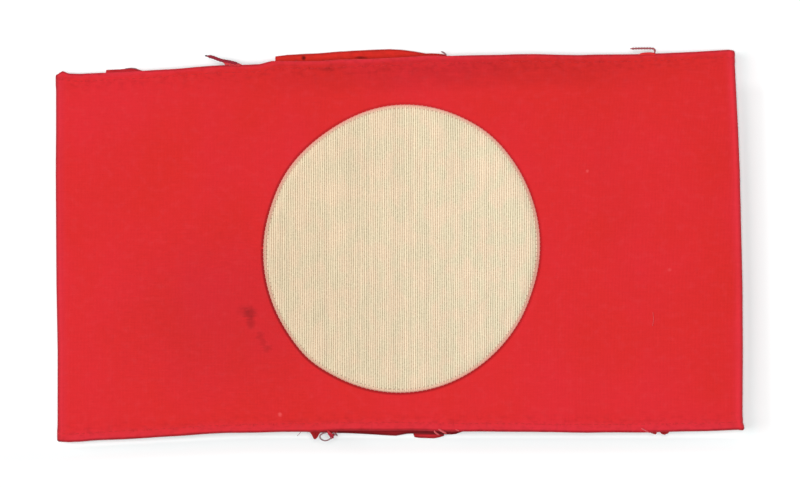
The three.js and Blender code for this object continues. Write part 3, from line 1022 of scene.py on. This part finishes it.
def red_cotton():
    """Plain-woven cotton, with thicker threads here and there, stitched hems, and a few dark marks."""
    m = Material("red_cotton")
    cloth = m.uv("cloth_mm")
    along, across = m.split(cloth)
    weave = m.times(m.rows(along, THREAD_PITCH), m.rows(across, THREAD_PITCH))
    weft = m.noise(cloth, 5.0, 0.36, 1.0)
    warp = m.noise(cloth, 0.36, 5.0, 1.0, seed=3.0)
    fade = m.noise(cloth, 26.0, 34.0, 3.0, seed=8.0)
    grain = m.noise(cloth, 1.3, 1.1, 3.0, seed=5.0)
    dust = m.ramp(m.noise(cloth, 0.9, 0.8, 1.0, seed=14.0), 0.68, 0.8)

    # The hems: blotches in both, painted shade of the trough beside the top one, painted shade in the
    # needle holes, and painted shade at the edges
    _, from_edge = m.split(m.uv("hem_mm"))
    at_top = m.ramp(across, -20.0, 20.0)
    blotches = m.noise(cloth, 2.1, 1.3, 2.0, seed=21.0)
    blotched = m.times(m.ramp(from_edge, 7.5, 2.5), m.ramp(blotches, 0.4, 0.75))
    beside_hem = m.times(m.ramp(from_edge, 12.0, 6.5), m.ramp(from_edge, 0.3, 1.6))
    # A patchy darker band beside the top hem: painted shade of the trough there
    trough_shade_patches = m.ramp(m.noise(cloth, 6.0, 2.4, 3.0, seed=41.0), 0.2, 0.6, 0.35, 1.0)
    trough_shade = m.times(beside_hem, at_top, m.band(along, 20.0, 90.0), trough_shade_patches)
    # Painted shade in the needle holes along the stitch rows
    holes = m.times(m.ramp(m.rows(along, STITCH_PITCH), 0.4, 0.1), m.band(from_edge, 2.3, 0.6))
    needle_hole_shade = m.times(holes, m.ramp(blotches, 0.5, 0.65))
    back_shows = m.math("MAXIMUM", m.band(along, -9.0, 34.0), m.band(along, -82.0, 8.0))
    top_edge = m.times(m.ramp(from_edge, 0.85, 0.35), at_top, m.ramp(back_shows, 0.15, 0.0))
    bottom_edge = m.times(m.ramp(from_edge, 0.95, 0.35), m.rest(at_top))

    tone = 1.0
    for value, amount in ((weft, 0.10), (warp, 0.06), (fade, 0.07), (grain, 0.06)):
        tone = m.varied(tone, value, amount)
    for value, amount in (
        (dust, -0.06),
        (blotched, -0.13),
        (needle_hole_shade, -0.16),
        (trough_shade, -0.15),
        (top_edge, -0.22),
        (bottom_edge, -0.36),
        (along, 0.00022),
    ):
        tone = m.plus(tone, value, amount)

    # Painted shade round the patch's edge, where the cloth is drawn in, deepest at its lower left
    outside_rim, turn = m.split(m.uv("rim_mm"))
    crease_shade = m.times(m.ramp(outside_rim, 1.05, 0.4), m.ramp(outside_rim, -0.5, 0.0))
    depth = m.plus(0.3, m.facing(turn, -150), 0.22)
    tone = m.times(tone, m.rest(m.times(crease_shade, depth)))

    # Painted light makes the right fold paler than the cloth beside it, against the shade on its round
    # side, and painted shade makes the left one darker
    past_fold = m.math("SUBTRACT", m.math("ABSOLUTE", along), FOLD_X)
    on_right = m.ramp(along, -1.0, 1.0)
    tone = m.plus(tone, m.times(m.band(past_fold, 0.8, 1.1), on_right), 0.16)
    tone = m.plus(tone, m.times(m.band(past_fold, 2.0, 1.7), m.rest(on_right)), -0.36)

    # The back's layers: both are in the shade of the front's bottom hem, and the inner one is more orange
    on_back = m.ramp(m.math("ABSOLUTE", along), FOLD_X + FOLD_ARC + 4.0, FOLD_X + FOLD_ARC + 8.0)
    shade = m.times(on_back, m.ramp(across, -57.25, -56.8), m.ramp(across, -50.0, -54.0))
    tone = m.times(tone, m.plus(1.0, shade, -0.45))
    on_inner = m.times(on_back, on_right)
    tone = m.plus(tone, on_inner, -0.1)
    orange = m.times(on_inner, m.ramp(across, 46.0, 54.0, 0.0, 0.8))

    # More crimson beside the hems and just past the folds
    hem_reach = m.plus(4.2, at_top, -2.4)
    near_hem = m.ramp(m.math("DIVIDE", from_edge, hem_reach), 1.0, 0.25)
    near_fold = m.times(m.ramp(past_fold, -2.0, 0.8), m.ramp(past_fold, 7.0, 4.0))
    crimson = m.times(m.math("MAXIMUM", near_hem, near_fold), 0.32)
    tint = m.ramp(m.noise(cloth, 2.6, 2.2, 3.0, seed=31.0), 0.45, 0.8, 0.0, 0.35)

    colour = m.mix(m.ramp(fade, 0.25, 0.75), m.colour("plain_red"), m.colour("faded_red"))
    colour = m.mix(tint, colour, m.colour("pale_red"))
    colour = m.mix(crimson, colour, m.colour("hem_crimson"))
    colour = m.mix(orange, colour, m.colour("orange"))
    colour = m.shaded(colour, tone)
    streaks = m.noise(cloth, 2.2, 0.6, 2.0, seed=17.0)
    colour = m.marked(colour, cloth, STAINS, m.colour("stain"), streaks)
    colour = m.marked(colour, cloth, SPECKS, m.colour("speck"), streaks)
    # A dark spot and a painted shadow on the inner layer past the top hem
    proud = [{**mark, "x": back_place(1, mark["x"])} for mark in PROUD_SPOT_AND_SHADOW]
    colour = m.marked(colour, cloth, proud, m.colour("proud_spot_and_shadow"), grain)
    height = m.plus(m.plus(weave, weft, 0.6), warp, 0.4)
    return m.finish(colour, 0.88, 0.1, m.bump(height, 0.07, 0.5), CLOTH_SHEEN)


def rim_pink(m):
    """How much of the rim's pink dye a place has; its lower left has least."""
    outside_rim, turn = m.split(m.uv("rim_mm"))
    to_lower_left = m.facing(turn, -140)
    at_edge = m.ramp(outside_rim, -0.6, -0.15)
    at_edge = m.times(at_edge, m.ramp(to_lower_left, 0.2, 0.9, 1.0, 0.75))
    further_in = m.ramp(outside_rim, -1.5, -0.2, 0.0, 0.55)
    further_in = m.times(further_in, m.ramp(to_lower_left, 0.2, 0.9, 1.0, 0.35))
    return m.math("MAXIMUM", at_edge, further_in)


def rim_shade(m, colour):
    """The colour with the rim's painted shade: a brown line of stitch shadow, most at its left and right,
    and greyer at its lower left.
    """
    outside_rim, turn = m.split(m.uv("rim_mm"))
    to_right = m.facing(turn, 0)
    to_sides = m.math("ABSOLUTE", to_right)
    brown = m.plus(0.04, to_sides, m.times(to_sides, m.plus(0.2, to_right, 0.1)))
    colour = m.mix(m.times(m.band(outside_rim, -0.65, 0.5), brown), colour, m.colour("rim_brown_shade"))
    to_lower_left = m.math("MAXIMUM", m.facing(turn, -145), 0.0)
    grey = m.times(m.ramp(outside_rim, -0.6, -0.2, 0.0, 0.32), to_lower_left)
    return m.mix(grey, colour, m.colour("rim_grey_shade"))


def pale_ribbed_cloth():
    """Upright ribs, no two alike, with painted brown shade in their grooves, and a rim that took the red
    dye.
    """
    m = Material("pale_ribbed_cloth")
    cloth = m.uv("cloth_mm")
    across, along = m.split(cloth)
    pitch = PATCH["rib_pitch"]
    rib_number = m.math("FLOOR", m.math("DIVIDE", across, pitch))
    rib_tone = m.add("TexWhiteNoise", {"W": rib_number}, noise_dimensions="1D").outputs["Value"]
    groove = m.rest(m.math("POWER", m.rows(across, pitch), 0.7))
    streak = m.noise(cloth, 0.5, 9.0, 2.0)
    patchy = m.noise(cloth, 4.5, 6.5, 2.0, seed=4.0)
    broad = m.noise(cloth, 24.0, 30.0, 2.0, seed=9.0)
    grain = m.noise(cloth, 0.6, 0.55, 2.0, seed=12.0)
    breaks = m.noise(cloth, 0.9, 0.45, 1.0, seed=27.0)
    filling = m.rows(along, FILLING_PITCH)

    tone = 0.955
    for value, amount in ((rib_tone, 0.07), (streak, 0.2), (grain, 0.24), (broad, 0.08)):
        tone = m.varied(tone, value, amount)
    tone = m.varied(tone, filling, 0.05, 0.6)
    tone = m.plus(m.plus(tone, across, 0.0011), along, 0.0006)
    colour = m.mix(m.ramp(patchy, 0.35, 0.65), m.colour("cream"), m.colour("warm_cream"))
    colour = m.mix(m.ramp(across, 45.0, -45.0, 0.0, 0.5), colour, m.colour("left_cream"))
    # Painted brown shade in the grooves between the ribs, deeper or fainter in patches
    depth = m.times(m.ramp(patchy, 0.2, 0.8, 0.96, 0.74), groove)
    depth = m.times(m.ramp(breaks, 0.25, 0.75, 1.15, 0.6), depth)
    groove_shade_colour = m.mix(m.ramp(patchy, 0.4, 0.6), m.colour("groove"), m.colour("warm_groove_shade"))
    colour = m.shaded(m.mix(depth, colour, groove_shade_colour), tone)

    outside_rim, turn = m.split(m.uv("rim_mm"))
    # Painted shade in the stitch holes a millimetre inside the rim
    between_stitches = m.rows(turn, 2 / PATCH["stitches"])
    hole = m.band(outside_rim, -PATCH_STITCH["inset"], 0.4)
    hole = m.times(hole, m.ramp(between_stitches, 0.6, 0.15), 0.65)
    colour = m.mix(hole, colour, m.colour("stitch_hole_shade"))
    colour = m.mix(rim_pink(m), colour, m.colour("rim_pink"))
    to_sides = m.math("ABSOLUTE", m.facing(turn, 0))
    dyed = m.times(m.band(outside_rim, -0.55, 0.6), m.plus(0.08, to_sides, 0.3))
    # The rim's painted shade
    colour = rim_shade(m, m.mix(dyed, colour, m.colour("rim_red")))
    height = m.plus(streak, filling, 0.5)
    return m.finish(colour, 0.65, 0.2, m.bump(height, 0.05, 0.4), CLOTH_SHEEN)


def sewing_thread(name, dye, rim_dye=None):
    """Thread with its twist, and with another colour and the rim's painted shade at the patch's rim where
    one is given.
    """
    m = Material(name)
    colour = m.colour(dye)
    fibres = m.noise(m.place_mm(), 0.28, 0.28, 2.0)
    if rim_dye:
        colour = rim_shade(m, m.mix(rim_pink(m), colour, m.colour(rim_dye)))
    tone = m.varied(1.0, fibres, 0.35)
    return m.finish(m.shaded(colour, tone), 0.75, 0.15, m.bump(fibres, 0.05, 0.6), CLOTH_SHEEN)


# Near the cloth the paper is painted cyan, which takes back the red light that the cloth throws on it.
# The paper has painted light above the band, a strip of painted light along the bottom edge, and strips
# of painted shadow further out from the bottom and right edges: a strip is full between two distances out
# from its edge, and fades past the other edge
PAPER = {"near": (0.943, 1.0, 1.0, 1.0), "far": (0.943, 0.943, 0.943, 1.0), "tone": 0.925, "above": 0.065}
PAPER_STRIPS = table(
    "edge from full past to brighter",
    ("bottom", -1.0, 0.0, 1.3, 1.9, 0.065),
    ("bottom", 1.6, 2.3, 4.5, 8.0, -0.06),
    ("right", 1.5, 3.5, 7.0, 10.5, -0.07),
)
BOTTOM_LINE = {"level": -56.2, "left_of": -45.0, "slope": 0.052}
RIGHT_LINE = {"middle": 101.6, "slope": -0.0205}


def white_floor():
    m = Material("white_paper")
    place = m.place_mm()
    x, y = m.split(place)
    tone = m.varied(PAPER["tone"], m.noise(place, 17.0, 17.0, 2.0), 0.005)
    past = m.math("MINIMUM", m.math("SUBTRACT", x, BOTTOM_LINE["left_of"]), 0.0)
    bottom = m.plus(BOTTOM_LINE["level"], past, BOTTOM_LINE["slope"])
    right = m.plus(RIGHT_LINE["middle"], y, RIGHT_LINE["slope"])
    out = {"bottom": m.math("SUBTRACT", bottom, y), "right": m.math("SUBTRACT", x, right)}
    # Painted light above the band, and painted light and shadow in the strips
    brighter = m.plus(1.0, m.ramp(y, 45.0, 50.0), PAPER["above"])
    for strip in PAPER_STRIPS:
        begun = m.ramp(out[strip["edge"]], strip["from"], strip["full"])
        inside = m.times(begun, m.ramp(out[strip["edge"]], strip["to"], strip["past"]))
        other = "right" if strip["edge"] == "bottom" else "bottom"
        inside = m.times(inside, m.ramp(out[other], 2.5, -3.5))
        brighter = m.plus(brighter, inside, strip["brighter"])
    # Painted cyan near the cloth, grey further out
    far = m.ramp(m.math("MAXIMUM", out["bottom"], out["right"]), 2.0, 6.0)
    colour = m.mix(far, PAPER["near"], PAPER["far"])
    return m.finish(m.shaded(colour, m.times(tone, brighter)), 0.9, 0.1)


def placed_piece(piece, material, slot, *nodes):
    piece.data.materials.append(material)
    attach(piece, "root")
    if nodes:
        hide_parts(*nodes)
    return piece


band = placed_piece(make_band(), red_cotton(), "red_cotton", "band")
patch = placed_piece(make_patch(), pale_ribbed_cloth(), "pale_ribbed_cloth", "patch")

red_thread = sewing_thread("red_thread", "hem_thread")
patch_thread = sewing_thread("patch_thread", "patch_thread", "rim_pink")
hem_stitches = placed_piece(make_hem_stitches(), red_thread, "red_cotton")
lap_stitches = placed_piece(make_lap_stitches(), red_thread, "red_cotton")
patch_stitches = placed_piece(make_patch_stitches(), patch_thread, "pale_ribbed_cloth")

for dye in LOOSE_DYES:
    threads = make_threads(f"{dye}_threads", dye)
    placed_piece(threads, sewing_thread(f"{dye}_thread", dye), "red_cotton")
# The fibres under the bottom hem: their red, darkened with painted shade
frayed_in_painted_shade = sewing_thread("frayed_thread_in_painted_shade", "frayed_in_painted_shade")
placed_piece(make_tufts(), frayed_in_painted_shade, "red_cotton")

# The white paper, just under what lies on it
FLOOR_REACH = 1.5
FLOOR_Z = -5e-5
floor_mesh = bpy.data.meshes.new("floor")
corners = [(FLOOR_REACH * i, FLOOR_REACH * j, FLOOR_Z) for i, j in ((-1, -1), (1, -1), (1, 1), (-1, 1))]
floor_mesh.from_pydata(corners, [], [(0, 1, 2, 3)])
floor_mesh.materials.append(white_floor())
linked("floor", floor_mesh)

# The photograph is taken from straight above; its width spans 240 mm at the band
VIEW_WIDTH = 0.240
VIEW_MIDDLE = (0.000073, 0.000499)
VIEW_HEIGHT = 0.003  # of the level that the width is measured at
camera_data = bpy.data.cameras.new("camera")
camera_data.sensor_width = 36.0
camera_data.lens = 300.0
camera_data.clip_end = 10.0
camera = linked("camera", camera_data)
camera.location = (*VIEW_MIDDLE, VIEW_HEIGHT + VIEW_WIDTH * camera_data.lens / camera_data.sensor_width)
bpy.context.scene.camera = camera

world = bpy.data.worlds.new("studio")
world.use_nodes = True
bpy.context.scene.world = world
sky = world.node_tree
sky.nodes.clear()
background = sky.nodes.new("ShaderNodeBackground")
background.inputs["Strength"].default_value = SKY_LIGHT
output = sky.nodes.new("ShaderNodeOutputWorld")
sky.links.new(background.outputs[0], output.inputs["Surface"])

for lamp in LAMPS:
    towards = Vector(lamp["from"]).normalized()
    lamp_data = bpy.data.lights.new(lamp["name"], "SUN")
    lamp_data.angle = math.radians(lamp["width"])
    lamp_data.energy = lamp["light"] * math.pi / towards.z
    linked(lamp["name"], lamp_data).rotation_euler = towards.to_track_quat("Z", "Y").to_euler()

bpy.context.scene.view_settings.view_transform = "Standard"
bpy.context.scene.view_settings.look = "None"
